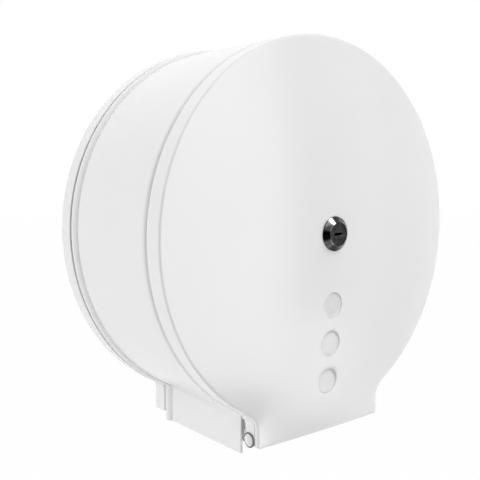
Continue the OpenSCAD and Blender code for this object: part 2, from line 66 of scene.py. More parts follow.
# Back plate. Its rim reaches further forward than in the CAD, and the neck is deeper in.
PLATE_R, TAB_X, PLATE_BEND, TAB_END = 127.4, 56.8, 3.8, 133.0
PLATE_RIM, PLATE_ROUND, PLATE_EDGE_R, PLATE_LIP = 12.2, 1.6, 0.5, 1.0
NECK_IN, NECK_END, NECK_ROUND = 5.0, 15.6, 0.2
BOSS_R, BOSS_H, BOSS_SLOPE = 46.0, 4.0, 4.0
WALL_X, WALL_Z, WALL_HOLE_R = 140.0, 120.0, 3.0
# Cover
COVER_R, APRON_X, APRON_BEND, APRON_END = 125.0, 55.0, 13.0, 131.4
RIM_START, CORNER_R, CORNER_DEPTH = 101.7, 1.6, 113.55
FACE_TILT = math.radians(80.3)
FACE_FRONT, BOTTOM_BULGE = 125.6, 1.2
APRON_CORNER = 2.0
HEM_LEG, HEM_H, HEM_X = 4.0, 6.0, 50.5
HOLE_R, HOLE_DROPS = 8.25, (46.1, 71.5, 96.9)
# A little wider than in the CAD, which the bezel hides
LOCK_HOLE_R = 9.3
HINGE = (106.8, -127.3)
STUD_DROPS, STUD_R, STUD_LEN = (32.1, 110.9), 1.5, 6.0
# Folds of the cover's sheet: radius of the bend, and offsets of a folded leg and of its free end
FOLD_R, FOLD_IN, FOLD_END = 1.02, 1.03, 1.1
LUG_BACK, LUG_ROUND, LUG_EDGE_R = 102.7, 5.6, 0.3
# Not in the CAD: a fine crease down the lugs, the holes' rounded edges, and the pads in the holes
CREASE_DEPTH, CREASE_W, CREASE_IN = 111.8, 0.9, 0.8
EDGE_R, PAD_DEPTH, PAD_GAP = 0.2, 0.95, 0.12
# A pad's dish: distance in from its edge, and height over its middle. Its back lies lower.
PAD_DISH = ((2.2, 0.0), (1.5, 0.03), (1.0, 0.12), (0.5, 0.32), (0.15, 0.58), (0.0, 0.7))
PAD_BACK = -1.6
# Lock. The bezel's front edge is a little smaller than in the CAD, and the keyway has wards.
BEZEL_R, BEZEL_FRONT_R, BEZEL_H = 11.0, 7.9, 3.2
PLUG_R, PLUG_SINK, LOCK_FACE_R = 6.4, 0.5, 7.1
CORE_R, CORE_DISH = 3.3, 0.3
BARREL_R, BARREL_LEN, BARREL_FLAT = 9.0, 21.0, 1.2
# Turned face of the lock: its relief, step at the core, groove, fall at the edge, and thickness
FACE_RELIEF, CORE_STEP, EDGE_FALL, EDGE_W, FACE_BACK = 0.3, 0.12, 0.25, 0.4, 0.02
GROOVE_R, GROOVE_W, GROOVE_DEPTH = 5.2, 0.25, 0.12
KEYWAY = (
    (-3.1, -0.5), (-2.3, -0.95), (-1.4, -0.4), (-0.3, -0.85), (0.7, -0.3), (1.6, -0.75),
    (2.6, -0.35), (2.8, 0.35), (1.9, 0.8), (0.9, 0.45), (0.3, 1.05), (-0.7, 0.5),
    (-1.7, 0.85), (-2.9, 0.45),
)
KEYWAY_STRETCH = (1.2, 1.25)
# Rivets, with a lower dome than in the CAD. Below it are the head's edge, the shank and the tail.
HEAD_R, HEAD_H, HEAD_SEAT = 3.8, 1.6, 55.7
SHANK = (
    (HEAD_R, 0.28), (HEAD_R, 0.1), (HEAD_R - 0.12, 0.0), (2.5, 0.0), (2.5, -3.1), (2.0, -3.1),
    (2.0, -4.6), (3.3, -4.6), (3.5, -4.8), (3.4, -5.3), (2.8, -5.75), (0.01, -5.8),
)
# Washers under the rivets' heads, a little larger than in the CAD. Their dark tone is partly
# painted shade: the dark ring it shows round each head stands in for the contact shadow there.
WASHER_R, WASHER_T, WASHER_BORE, WASHER_EDGE = 4.9, 0.55, 2.6, 0.15

# ---- Fineness of the meshes ----

FACE_STEP, PLATE_STEP, LOCK_STEP = 3.0, 9.0, 0.32
HOLE_TURN, WALL_HOLE_TURN, BOSS_TURN, LOCK_TURN = 64, 32, 96, 72
STUD_TURN, RIVET_TURN, BEZEL_TURN = 32, 72, 160
BOTTOM_STEPS, CORNER_STEPS, CURL_STEPS = 36, 8, 12
AXIS_R = 0.01
# Least clearance of a grid point and the rows' pitch, in grid steps
GRID_CLEAR, ROW_PITCH = 0.55, 0.866
# What counts as one point: in a triangulation, in mm, and in a finished mesh, in metres
MERGE, WELD = 1e-6, 1e-7
SOLVER_ROUNDS, SOLVER_STOP = 4000, 1e-14

# ---- Camera and light, fitted to the photograph ----

AZIMUTH, ELEVATION, ROLL = -38.87, 5.61, -0.15
TARGET = (-24.52, -60.0, -7.29)
DISTANCE, LENS, SENSOR = 498.5, 54.63, 36.0

# Floor, in metres: half its size, its height and colour, and how white it is to the camera
FLOOR_SIZE, FLOOR_Z = 6.0, -0.4
FLOOR_GLOW = 0.96
FLOOR_TONE = (0.72, 0.72, 0.72)

# Surround: an even level, and lobes as azimuth, elevation, strength and power
EVEN_LIGHT = 0.22
LOBES = ((-112, 24, 2.4, 12), (-112, -8, 2.4, 12), (-150, 34, 1.2, 12), (52, 56, 5.6, 12))

# Cards: name, azimuths, heights in metres and level, all round one upright line in metres
CARD_DISTANCE, CARD_LINE = 0.5, (0.0, -0.12)
CARDS = (
    ("card_front", (-20, 34), (FLOOR_Z, 1.0), 3.1),
    ("card_middle", (34, 62), (FLOOR_Z, 1.0), 1.2),
    ("card_right", (62, 105), (FLOOR_Z, 1.0), 0.6),
    ("card_low", (34, 52), (FLOOR_Z, -0.2), 1.0),
)


# ---- Mesh helpers ----


def to_world(x, z, depth):
    """A place and a depth in mm as a point in metres."""
    return (x * MM, -depth * MM, z * MM)


def new_object(name, verts, faces, sharp=32.0):
    """A mesh object from points in metres, smooth but for edges sharper than the angle."""
    mesh = bpy.data.meshes.new(name)
    mesh.from_pydata([tuple(v) for v in verts], [], faces)
    mesh.validate()
    bm = bmesh.new()
    bm.from_mesh(mesh)
    bmesh.ops.remove_doubles(bm, verts=bm.verts, dist=WELD)
    bmesh.ops.dissolve_degenerate(bm, edges=bm.edges, dist=WELD)
    bmesh.ops.recalc_face_normals(bm, faces=bm.faces)
    bm.to_mesh(mesh)
    bm.free()
    mesh.polygons.foreach_set("use_smooth", [True] * len(mesh.polygons))
    mesh.set_sharp_from_angle(angle=math.radians(sharp))
    obj = bpy.data.objects.new(name, mesh)
    bpy.context.scene.collection.objects.link(obj)
    return obj


def arc(cx, cy, r, a0, a1, n):
    """n + 1 points on an arc, from one angle to another, in degrees."""
    turns = [math.radians(a0 + (a1 - a0) * i / n) for i in range(n + 1)]
    return [(cx + r * math.cos(a), cy + r * math.sin(a)) for a in turns]


def bend_y(r, x, b):
    """Height at which a keyhole's hollow bend of radius b runs into its straight side at x."""
    return -math.sqrt((r + b) ** 2 - (x + b) ** 2)


def keyhole_stations(r, x, b, end, turn=200, bend=14, side=10):
    """Places and outward directions from the right side's lower end over the top to the left's."""
    y = bend_y(r, x, b)
    low = math.degrees(math.acos((x + b) / (r + b)))
    right = [((x, -end + (y + end) * i / side), (1.0, 0.0)) for i in range(side)]
    for i in range(bend + 1):
        a = math.radians(180 - low * i / bend)
        right.append(((x + b + b * math.cos(a), y + b * math.sin(a)), (-math.cos(a), -math.sin(a))))
    stations = list(right)
    for i in range(1, turn):
        a = math.radians(-low + (180 + 2 * low) * i / turn)
        stations.append(((r * math.cos(a), r * math.sin(a)), (math.cos(a), math.sin(a))))
    stations += [((-p[0], p[1]), (-n[0], n[1])) for p, n in reversed(right)]
    return stations


def ring_faces(rings, count, closed=False):
    """Quads between neighbouring rings of count points, and from last to first if closed."""
    faces = []
    for s in range(rings if closed else rings - 1):
        a, b = s * count, (s + 1) % rings * count
        faces += [(a + k, a + (k + 1) % count, b + (k + 1) % count, b + k) for k in range(count)]
    return faces


def loft(stations, profiles, closed=False):
    """Points and faces of profiles swept along stations, with ends unless the sweep is closed."""
    count = len(profiles[0])
    verts = [
        to_world(p[0] + o * n[0], p[1] + o * n[1], d)
        for (p, n), profile in zip(stations, profiles)
        for o, d in profile
    ]
    faces = ring_faces(len(stations), count, closed)
    if not closed:
        faces.append(tuple(range(count)))
        faces.append(tuple((len(stations) - 1) * count + k for k in reversed(range(count))))
    return verts, faces


def slab(flat, tris, starts, fronts, back):
    """A triangulated region as a solid: a front with a depth for each point, a flat back, walls."""
    n = len(flat)
    verts = [to_world(x, z, front) for (x, z), front in zip(flat, fronts)]
    verts += [to_world(x, z, back) for x, z in flat]
    faces = list(tris) + [tuple(i + n for i in reversed(t)) for t in tris]
    for loop in starts:
        turned = loop[1:] + loop[:1]
        faces += [(i, j, j + n, i + n) for i, j in zip(loop, turned)]
    return verts, faces


def mix(a, b, w):
    """Points between two profiles, from the first at 0 to the second at 1."""
    return [(p[0] + (q[0] - p[0]) * w, p[1] + (q[1] - p[1]) * w) for p, q in zip(a, b)]


def smooth(w):
    """Eases from 0 to 1 and stays flat outside."""
    w = min(1.0, max(0.0, w))
    return w * w * (3 - 2 * w)


def join(*parts):
    """Joins (points, faces) lists into one."""
    verts, faces = [], []
    for v, f in parts:
        faces += [tuple(i + len(verts) for i in face) for face in f]
        verts += list(v)
    return verts, faces


def lathe(profile, turn, axis="depth", place=(0.0, 0.0, 0.0)):
    """Turns a closed profile (radius, height) round an axis: depth (towards the viewer) or x."""
    verts = []
    for s in range(turn):
        a = 2 * math.pi * s / turn
        for r, h in profile:
            u, v = r * math.cos(a), r * math.sin(a)
            if axis == "depth":
                verts.append(to_world(place[0] + u, place[1] + v, place[2] + h))
            else:
                verts.append(to_world(place[0] + h, place[1] + u, place[2] + v))
    return verts, ring_faces(turn, len(profile), closed=True)


def ring_points(r, n, cx=0.0, cz=0.0):
    """n places on a circle."""
    turns = [2 * math.pi * i / n for i in range(n)]
    return [(cx + r * math.cos(a), cz + r * math.sin(a)) for a in turns]


def triangulate(loops, step, inside):
    """Triangles over a flat region.

    The loops are its edges, and inside(x, z) is the clearance within it. Returned are the points,
    the triangles, and for each loop the numbers of its points.
    """
    points, edges = [], []
    for loop in loops:
        base = len(points)
        points += loop
        edges += [(base + i, base + (i + 1) % len(loop)) for i in range(len(loop))]
    fixed = len(points)
    xs = [p[0] for p in points]
    zs = [p[1] for p in points]
    row, z = 0, min(zs)
    while z < max(zs):
        x = min(xs) + (step / 2 if row % 2 else 0)
        while x < max(xs):
            if inside(x, z) > step * GRID_CLEAR:
                points.append((x, z))
            x += step
        z += step * ROW_PITCH
        row += 1
    # output type 1 keeps only what lies inside the edges, so hollow bends aren't bridged
    out = delaunay_2d_cdt([Vector(p) for p in points], edges, [], 1, MERGE)
    flat = [(v.x, v.y) for v in out[0]]
    tris = []
    for f in out[2]:
        cx = sum(flat[i][0] for i in f) / 3
        cz = sum(flat[i][1] for i in f) / 3
        if inside(cx, cz) > 0:
            tris.append(tuple(f))
    first = {}
    for new, olds in enumerate(out[3]):
        for old in olds:
            if old < fixed:
                first[old] = new
    starts, base = [], 0
    for loop in loops:
        starts.append([first[base + i] for i in range(len(loop))])
        base += len(loop)
    return flat, tris, starts


# ---- Drum casing and back plate ----


def flare_outside():
    """The flare's profile from its lip to the wall, and the radius of its bend."""
    bend = ((FLARE_END - FLARE_FLAT) ** 2 + FLARE**2) / (2 * FLARE)
    end = math.degrees(math.acos(1 - FLARE / bend))
    points = [(FLARE - back, FLARE_START + down) for back, down in FLARE_LIP]
    points += arc(FLARE - bend, FLARE_FLAT, bend, 0, end - 5, CURL_STEPS)
    points += [(out, FLARE_END + down) for out, down in FLARE_GROOVE]
    # support points keep the shading of a bend out of the flat wall beside it
    points += [(0.0, FLARE_END + down) for down in (0.4, 1.0)]
    return points, bend


def panel_share(z, n, top):
    """0 round the drum, 1 down the side panels, changing through the bend."""
    if z < top - 0.01:
        return 1.0
    if z < top + 4 and n[1] <= 0.5:
        return smooth((abs(n[0]) - 0.90) / 0.10)
    return 0.0


def casing_profiles(stations):
    """Flare, wall and rolled front edge; down the side panels the roll closes into a flat hem."""
    outside, bend = flare_outside()
    top = bend_y(DRUM_R, PANEL_X, PANEL_BEND)
    inner_flare = arc(FLARE - bend, FLARE_FLAT, bend - SHEET, 35, 0, 10)
    inside = [(-SHEET, FLARE_END + 0.6)] + [(max(p[0], -SHEET), p[1]) for p in inner_flare]
    profiles = []
    for (_, z), n in stations:
        w = panel_share(z, n, top)
        r = CURL_R + (PANEL_FOLD_R - CURL_R) * w
        fold = 90 + 90 * w
        front = DRUM_FRONT + (PANEL_FRONT - DRUM_FRONT) * w
        leg = FLANGE_W - (FLANGE_W - HEM_BACK) * w
        edge = math.radians(fold)
        tangent = (-math.sin(edge), math.cos(edge))
        outer_arc = arc(-r, front - r, r, 0, fold, CURL_STEPS)
        inner_arc = arc(-r, front - r, r - SHEET, 0, fold, CURL_STEPS)
        legs = [
            (end[0] + tangent[0] * leg, end[1] + tangent[1] * leg)
            for end in (outer_arc[-1], inner_arc[-1])
        ]
        wall = [(0.0, front - r - 1.0), (0.0, front - r - 0.3)]
        profiles.append(outside + wall + outer_arc + legs + inner_arc[::-1] + inside)
    return profiles


def make_casing():
    stations = keyhole_stations(DRUM_R, PANEL_X, PANEL_BEND, PANEL_END)
    verts, faces = loft(stations, casing_profiles(stations))
    obj = new_object("casing_shell", verts, faces)
    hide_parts("drum_casing")
    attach(obj, "housing")
    return obj


def plate_rim(lip):
    """Profile from the lip on the wall round the rim, in to the neck, and back inside the sheet."""
    r, e = PLATE_ROUND, PLATE_EDGE_R
    profile = [(lip, 0.0)] + arc(-r, r, r, -90, 0, 8)
    profile += [(0.0, r + 0.4), (0.0, PLATE_RIM - 0.9)] + arc(-e, PLATE_RIM - e, e, 0, 90, 4)
    profile += [(-NECK_IN, PLATE_RIM), (-NECK_IN, NECK_END - NECK_ROUND)]
    profile += [(-NECK_IN - NECK_ROUND, NECK_END), (-NECK_IN - SHEET, NECK_END)]
    profile += [(-NECK_IN - SHEET, PLATE_RIM - SHEET), (-SHEET, PLATE_RIM - SHEET)]
    return profile + arc(-r, r, r - SHEET, 0, -90, 6) + [(lip, SHEET)]


def plate_boss():
    """Profile of the raised disc in the plate's middle, its foot lapping the flat round it."""
    top, foot = BOSS_R - BOSS_SLOPE, BOSS_R + 0.5
    front = [(2 * AXIS_R, BOSS_H), (top - 0.6, BOSS_H), (top, BOSS_H - 0.25)]
    front += [(BOSS_R - 0.3, 0.3), (foot, 0.0)]
    back = [(foot, SHEET), (BOSS_R + 0.3, SHEET + 0.25)]
    back += [(top + SHEET + 0.2, BOSS_H + SHEET - 0.25), (top + 0.3, BOSS_H + SHEET)]
    return front + back + [(2 * AXIS_R, BOSS_H + SHEET)]


def plate_flat(lip):
    """The plate's flat part on the wall, with its screw holes and the opening for the boss."""
    turned = keyhole_stations(PLATE_R, TAB_X, PLATE_BEND, TAB_END, turn=120, bend=5, side=3)
    outline = [(p[0] + n[0] * (lip + 0.4), p[1] + n[1] * (lip + 0.4)) for p, n in turned]
    outline = [(x, max(z, -TAB_END)) for x, z in outline]
    holes = [(sx * WALL_X / 2, sz * WALL_Z / 2) for sx in (-1, 1) for sz in (-1, 1)]
    loops = [outline, ring_points(BOSS_R, BOSS_TURN)]
    loops += [ring_points(WALL_HOLE_R, WALL_HOLE_TURN, *h) for h in holes]
    y = bend_y(PLATE_R, TAB_X, PLATE_BEND)

    def inside(x, z):
        edge = PLATE_R + lip - math.hypot(x, z)
        if z < y + 2:
            edge = max(edge, min(TAB_X + lip - abs(x), z + TAB_END))
        gaps = [math.hypot(x - h[0], z - h[1]) - WALL_HOLE_R for h in holes]
        return min([edge + 0.5, math.hypot(x, z) - BOSS_R] + gaps)

    flat, tris, starts = triangulate(loops, PLATE_STEP, inside)
    return slab(flat, tris, starts, [0.0] * len(flat), SHEET)


def make_back_plate():
    stations = keyhole_stations(PLATE_R, TAB_X, PLATE_BEND, TAB_END)
    lip = -PLATE_ROUND - PLATE_LIP
    shell = loft(stations, [plate_rim(lip)] * len(stations))
    verts, faces = join(shell, plate_flat(lip), lathe(plate_boss(), BOSS_TURN))
    obj = new_object("back_plate_shell", verts, faces)
    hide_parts("back_plate")
    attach(obj, "housing")
    return obj


# ---- Front cover ----


def cover_stations():
    """The cover's outline as a closed loop of places and outward directions."""
    straight_end = APRON_END - APRON_CORNER
    over = keyhole_stations(COVER_R, APRON_X, APRON_BEND, straight_end, turn=260, bend=18, side=8)
    # left lower corner, bottom edge and right lower corner
    cx, cz = APRON_X - APRON_CORNER, -APRON_END + APRON_CORNER
    left = []
    for degrees in (195, 210, 225, 240, 255, 270):
        n = (math.cos(math.radians(degrees)), math.sin(math.radians(degrees)))
        left.append(((-cx + APRON_CORNER * n[0], cz + APRON_CORNER * n[1]), n))
    bottom = [
        ((-cx + 2 * cx * i / BOTTOM_STEPS, -APRON_END), (0.0, -1.0)) for i in range(1, BOTTOM_STEPS)
    ]
    right = [((-p[0], p[1]), (-n[0], n[1])) for p, n in reversed(left)]
    return over + left + bottom + right


def bulge(x):
    """How far the apron's lower edge bows out in front of its corners."""
    return BOTTOM_BULGE * max(0.0, 1 - (x / APRON_X) ** 2)


def corner_outside():
    """The rounded corner from face to wall, with a support point on the wall."""
    tilt = math.degrees(FACE_TILT)
    corner = arc(-CORNER_R, CORNER_DEPTH, CORNER_R, tilt, 0, CORNER_STEPS)
    return corner + [(0.0, CORNER_DEPTH - 0.4)]


def corner_inside():
    tilt = math.degrees(FACE_TILT)
    return arc(-CORNER_R, CORNER_DEPTH, CORNER_R - SHEET, 0, tilt, CORNER_STEPS)


def hem_profile():
    """Round the rim: a plain wall that ends in a folded hem."""
    wall = [(0.0, CREASE_DEPTH - 0.4 * k) for k in range(4)] + [(0.0, RIM_START + 1.5)]
    fold = arc(-FOLD_R, RIM_START + FOLD_R, FOLD_R, 0, -180, 10)
    end = RIM_START + FOLD_R + HEM_LEG
    leg = [(-2 * FOLD_R, end), (-FOLD_IN, end), (-FOLD_R, RIM_START + FOLD_END)]
    return corner_outside() + wall + fold + leg + corner_inside()


def lug_profile(z):
    """Down the lugs: a wall with a fine crease and a plain end, rounded at its lower rear."""
    e, back = LUG_EDGE_R, LUG_BACK
    centre = LUG_ROUND - APRON_END
    if z < centre:
        back = LUG_BACK + LUG_ROUND - math.sqrt(max(0.0, LUG_ROUND**2 - (centre - z) ** 2))
    crease = [(0.0, CREASE_DEPTH + CREASE_W / 2), (-CREASE_IN, CREASE_DEPTH + CREASE_W / 3)]
    crease += [(-CREASE_IN, CREASE_DEPTH - CREASE_W / 3), (0.0, CREASE_DEPTH - CREASE_W / 2)]
    support = [(0.0, min(back + 0.7, CREASE_DEPTH - 0.5))]
    end = arc(-e, back + e, e, 0, -90, 5) + arc(e - SHEET, back + e, e, -90, -180, 4)
    inner = [(-SHEET, back + rise) for rise in (0.6, 0.8, 1.0)]
    return corner_outside() + crease + support + end + inner + corner_inside()


def bottom_profile(x):
    """Along the bottom: the sheet folded up behind the face."""
    f = CORNER_DEPTH + CORNER_R * math.sin(FACE_TILT) + bulge(x)
    w = smooth((HEM_X + 1.5 - abs(x)) / 1.5)
    leg = HEM_H * w + FOLD_END * (1 - w)
    # the repeated points give it as many as the other profiles have, and merge in the mesh
    front = arc(-FOLD_R, f - FOLD_R, FOLD_R, 90, 0, 8) + [(0.0, f - FOLD_R)] * 6
    fold = arc(-FOLD_R, f - FOLD_R, FOLD_R, 0, -90, 10)
    rear = f - 2 * FOLD_R
    legs = [(-leg, rear), (-leg, rear + SHEET), (-FOLD_END, rear + SHEET)]
    return front + fold + legs + [(-FOLD_IN - 0.04 * k, f - SHEET) for k in range(9)]


def cover_profiles(stations):
    """From the face's outer edge round the corner, back along the wall and its end, and inside."""
    y = bend_y(COVER_R, APRON_X, APRON_BEND)
    hem = hem_profile()
    profiles = []
    for (x, z), n in stations:
        if n[1] < -0.999:
            profiles.append(bottom_profile(x))
        elif z < y and n[1] < -0.05:
            profiles.append(mix(lug_profile(z), bottom_profile(x), smooth(-n[1])))
        elif z <= y + 0.5:
            profiles.append(lug_profile(z))
        else:
            profiles.append(mix(hem, lug_profile(z), smooth((y + 10 - z) / 9)))
    return profiles


def hole_gap(x, z):
    """Distance to the nearest hole's edge, negative in a hole."""
    return min(math.hypot(x - h[0], z - h[1]) - h[2] for h in face_holes())


def face_clearance(x, z):
    """Distance inside the cover's face, negative outside it and in its holes."""
    inset = CORNER_R - CORNER_R * math.cos(FACE_TILT)
    y = bend_y(COVER_R, APRON_X, APRON_BEND)
    edge = COVER_R - inset - math.hypot(x, z)
    if z < -100 and abs(x) < APRON_X + APRON_BEND:
        chute = min(APRON_X - inset - abs(x), z + APRON_END - FOLD_R)
        bend = math.hypot(abs(x) - APRON_X - APRON_BEND, z - y) - APRON_BEND - inset
        edge = max(edge, chute if z < y else bend)
    return min(edge, hole_gap(x, z))


def solid_clearance(x, z):
    """Distance inside the cover's face with its holes filled."""
    return 20.0 if hole_gap(x, z) < 2 * FACE_STEP else face_clearance(x, z)


def membrane(flat, tris, fixed, rise):
    """Height of a film held at its edge and pushed out evenly by the rise at most."""
    p = np.array(flat)
    t = np.array(tris)
    n = len(p)
    i, j, k = t[:, 0], t[:, 1], t[:, 2]

    def cot(a, b, c):
        u, v = p[b] - p[a], p[c] - p[a]
        return (u * v).sum(1) / np.maximum(1e-9, np.abs(u[:, 0] * v[:, 1] - u[:, 1] * v[:, 0]))

    pairs = np.concatenate([np.stack([i, j], 1), np.stack([j, k], 1), np.stack([k, i], 1)])
    cots = np.concatenate([cot(k, i, j), cot(i, j, k), cot(j, k, i)]) * 0.5
    u, v = p[j] - p[i], p[k] - p[i]
    area = np.abs(u[:, 0] * v[:, 1] - u[:, 1] * v[:, 0]) / 6
    load = sum(np.bincount(c, area, n) for c in (i, j, k))

    def apply(u):
        d = (u[pairs[:, 0]] - u[pairs[:, 1]]) * cots
        return np.bincount(pairs[:, 0], d, n) - np.bincount(pairs[:, 1], d, n)

    free = np.ones(n, bool)
    free[list(fixed)] = False

    def solve(rhs, start):
        """Conjugate gradients over the free points."""
        u = start.copy()
        r = np.where(free, rhs - apply(u), 0.0)
        q = r.copy()
        rr = (r * r).sum()
        stop = rr * SOLVER_STOP
        for _ in range(SOLVER_ROUNDS):
            aq = np.where(free, apply(q), 0.0)
            alpha = rr / (q * aq).sum()
            u += alpha * q
            r -= alpha * aq
            new = (r * r).sum()
            if new < stop:
                break
            q = r + q * (new / rr)
            rr = new
        return u

    edge = np.zeros(n)
    for index, height in fixed.items():
        edge[index] = height
    pressed = solve(load, np.zeros(n))
    lifted = solve(np.zeros(n), edge)
    return lifted + pressed * rise / pressed.max()


class Surface:
    """Height over a triangulated plane, by the triangle that holds a place."""

    CELL = 4.0

    def __init__(self, flat, tris, heights):
        self.p, self.t, self.h, self.grid = flat, tris, heights, {}
        for index, t in enumerate(tris):
            columns = self.cells([flat[i][0] for i in t])
            rows = self.cells([flat[i][1] for i in t])
            for cell in ((a, b) for a in columns for b in rows):
                self.grid.setdefault(cell, []).append(index)

    def cells(self, values):
        return range(int(min(values) // self.CELL), int(max(values) // self.CELL) + 1)

    def at(self, x, z):
        best, value = -1e9, 0.0
        for index in self.grid.get((int(x // self.CELL), int(z // self.CELL)), []):
            i, j, k = self.t[index]
            (x1, z1), (x2, z2), (x3, z3) = self.p[i], self.p[j], self.p[k]
            det = (z2 - z3) * (x1 - x3) + (x3 - x2) * (z1 - z3)
            u = ((z2 - z3) * (x - x3) + (x3 - x2) * (z - z3)) / det
            v = ((z3 - z1) * (x - x3) + (x1 - x3) * (z - z3)) / det
            low = min(u, v, 1 - u - v)
            if low > best:
                best, value = low, u * self.h[i] + v * self.h[j] + (1 - u - v) * self.h[k]
        return float(value)


def profile_loop(stations, profiles, index):
    """Places of one point of every profile, and their depths."""
    places = [
        (p[0] + n[0] * q[index][0], p[1] + n[1] * q[index][0])
        for (p, n), q in zip(stations, profiles)
    ]
    return places, [q[index][1] for q in profiles]


def cover_surface(stations, profiles):
    """The dome's film, solved without its holes, so that they don't bend it."""
    outer, depths = profile_loop(stations, profiles, 0)
    flat, tris, starts = triangulate([outer], FACE_STEP, solid_clearance)
    base = CORNER_DEPTH + CORNER_R * math.sin(FACE_TILT)
    fixed = {v: d - base for v, d in zip(starts[0], depths)}
    heights = membrane(flat, tris, fixed, FACE_FRONT - base)
    return Surface(flat, tris, heights + base)


def face_holes():
    """Centre and radius of each hole in the face."""
    return [(0.0, -d, HOLE_R) for d in HOLE_DROPS] + [(0.0, 0.0, LOCK_HOLE_R)]


def face_side(loop, depths, surface, down, widen):
    """One side of the face: how far down behind the dome, and how much wider its holes are."""
    holes = [ring_points(r + widen, HOLE_TURN, x, z) for x, z, r in face_holes()]

    def inside(x, z):
        return min(face_clearance(x, z), hole_gap(x, z) - widen)

    flat, tris, starts = triangulate([loop] + holes, FACE_STEP, inside)
    rim = dict(zip(starts[0], depths))
    verts = [
        to_world(x, z, rim[i] if i in rim else surface.at(x, z) - down)
        for i, (x, z) in enumerate(flat)
    ]
    return verts, tris


def hole_edge(surface, x, z, r):
    """Rounded edge and wall of a hole, from a little outside it to the back of the sheet."""
    steps = [(EDGE_R, 0.0), (0.5 * EDGE_R, -0.06), (0.14 * EDGE_R, -0.4 * EDGE_R)]
    steps += [(0.0, -EDGE_R), (0.0, -SHEET)]
    verts = surface_rings(surface, x, z, [(r + out, down) for out, down in steps])
    return verts, ring_faces(len(steps), HOLE_TURN)


def surface_rings(surface, x, z, steps):
    """Rings round a place on the dome, each with a radius and a height over the surface."""
    return [
        to_world(u, v, surface.at(u, v) + rise)
        for r, rise in steps
        for u, v in ring_points(r, HOLE_TURN, x, z)
    ]


def cover_walls(stations, profiles):
    """The wall with its folds, without the strip that would close it behind the face."""
    count = len(profiles[0])
    verts, faces = loft(stations, profiles, closed=True)
    return verts, [f for f in faces if not (f[0] % count == count - 1 and f[1] % count == 0)]


def cover_stud(surface, drop):
    """A stud behind the face that holds the level strip."""
    end, bevel = -STUD_LEN, 0.3
    profile = [(AXIS_R, end), (STUD_R - bevel, end), (STUD_R, bevel + end)]
    profile += [(STUD_R, 0.0), (AXIS_R, 0.0)]
    seat = surface.at(0.0, -drop) - SHEET / 2
    return lathe(profile, STUD_TURN, place=(0.0, -drop, seat))


def make_cover(surface, stations, profiles):
    outer, outer_depths = profile_loop(stations, profiles, 0)
    inner, inner_depths = profile_loop(stations, profiles, -1)
    parts = [
        face_side(outer, outer_depths, surface, 0.0, EDGE_R),
        face_side(inner, inner_depths, surface, SHEET, 0.0),
        cover_walls(stations, profiles),
    ]
    parts += [hole_edge(surface, *h) for h in face_holes()]
    parts += [cover_stud(surface, drop) for drop in STUD_DROPS]
    verts, faces = join(*parts)
    obj = new_object("cover_shell", verts, faces, sharp=38)
    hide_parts("front_cover")
    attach(obj, "cover")
    return obj


def make_window_pads(surface):
    """Round dished pads of the level strip, which fill the face's holes to just below it."""
    r = HOLE_R - PAD_GAP
    steps = [(AXIS_R, 0.0), (0.4 * r, 0.0)] + [(r - inwards, rise) for inwards, rise in PAD_DISH]
    steps += [(r, PAD_BACK), (AXIS_R, PAD_BACK)]
    steps = [(out, rise - PAD_DEPTH) for out, rise in steps]
    faces = ring_faces(len(steps), HOLE_TURN, closed=True)
    parts = [(surface_rings(surface, 0.0, -drop, steps), faces) for drop in HOLE_DROPS]
    verts, faces = join(*parts)
    obj = new_object("level_strip_pads", verts, faces)
    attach(obj, "cover")
    return obj


# ---- Lock and rivets ----


def bezel_profile():
    """The bezel's cone round its bore, and the barrel behind the face."""
    front, back = FACE_FRONT + BEZEL_H, FACE_FRONT - SHEET - BARREL_LEN
    seat, bore, floor = FACE_FRONT - 0.12, LOCK_FACE_R + 0.06, front - PLUG_SINK - 0.1
    hole = PLUG_R + 0.05
    foot = [(BEZEL_R - 0.35, seat), (BEZEL_R, FACE_FRONT + 0.1), (BEZEL_R, FACE_FRONT + 0.55)]
    cone = [(BEZEL_R - 0.12, FACE_FRONT + 0.8), (BEZEL_FRONT_R + 0.25, front - 0.45)]
    brow = arc(BEZEL_FRONT_R - 0.25, front - 0.4, 0.4, 25, 90, 6)
    inner = [(bore + 0.1, front), (bore, front - 0.12), (bore, floor), (hole, floor)]
    return foot + cone + brow + inner + [(hole, back), (BARREL_R, back), (BARREL_R, seat)]


def make_bezel():
    verts, faces = lathe(bezel_profile(), BEZEL_TURN)
    # flats that stop the barrel from turning in its hole
    limit = (BARREL_R - BARREL_FLAT) * MM
    low = -(FACE_FRONT - SHEET - 0.1) * MM
    verts = [(x, y, max(-limit, min(limit, z)) if y > low else z) for x, y, z in verts]
    obj = new_object("lock_bezel", verts, faces, sharp=28)
    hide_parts("lock_housing")
    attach(obj, "cover")
    return obj


def lock_relief(x, z):
    """Height of the plug's turned face: a dished core, a groove and a fall at the edge."""
    r = math.hypot(x, z)
    if r < CORE_R:
        return FACE_RELIEF - CORE_DISH * (1 - (r / CORE_R) ** 2)
    step = CORE_STEP * smooth((r - CORE_R) / 0.3)
    groove = max(0.0, 1 - abs(r - GROOVE_R) / GROOVE_W) * GROOVE_DEPTH
    return FACE_RELIEF + step - groove - EDGE_FALL * smooth((r - LOCK_FACE_R + EDGE_W) / EDGE_W)


def in_polygon(x, z, corners):
    """Whether a place is inside a closed outline, by the sides that a ray from it crosses."""
    crossed = False
    for (ax, az), (bx, bz) in zip(corners, corners[1:] + corners[:1]):
        if (az > z) != (bz > z) and x < ax + (z - az) / (bz - az) * (bx - ax):
            crossed = not crossed
    return crossed


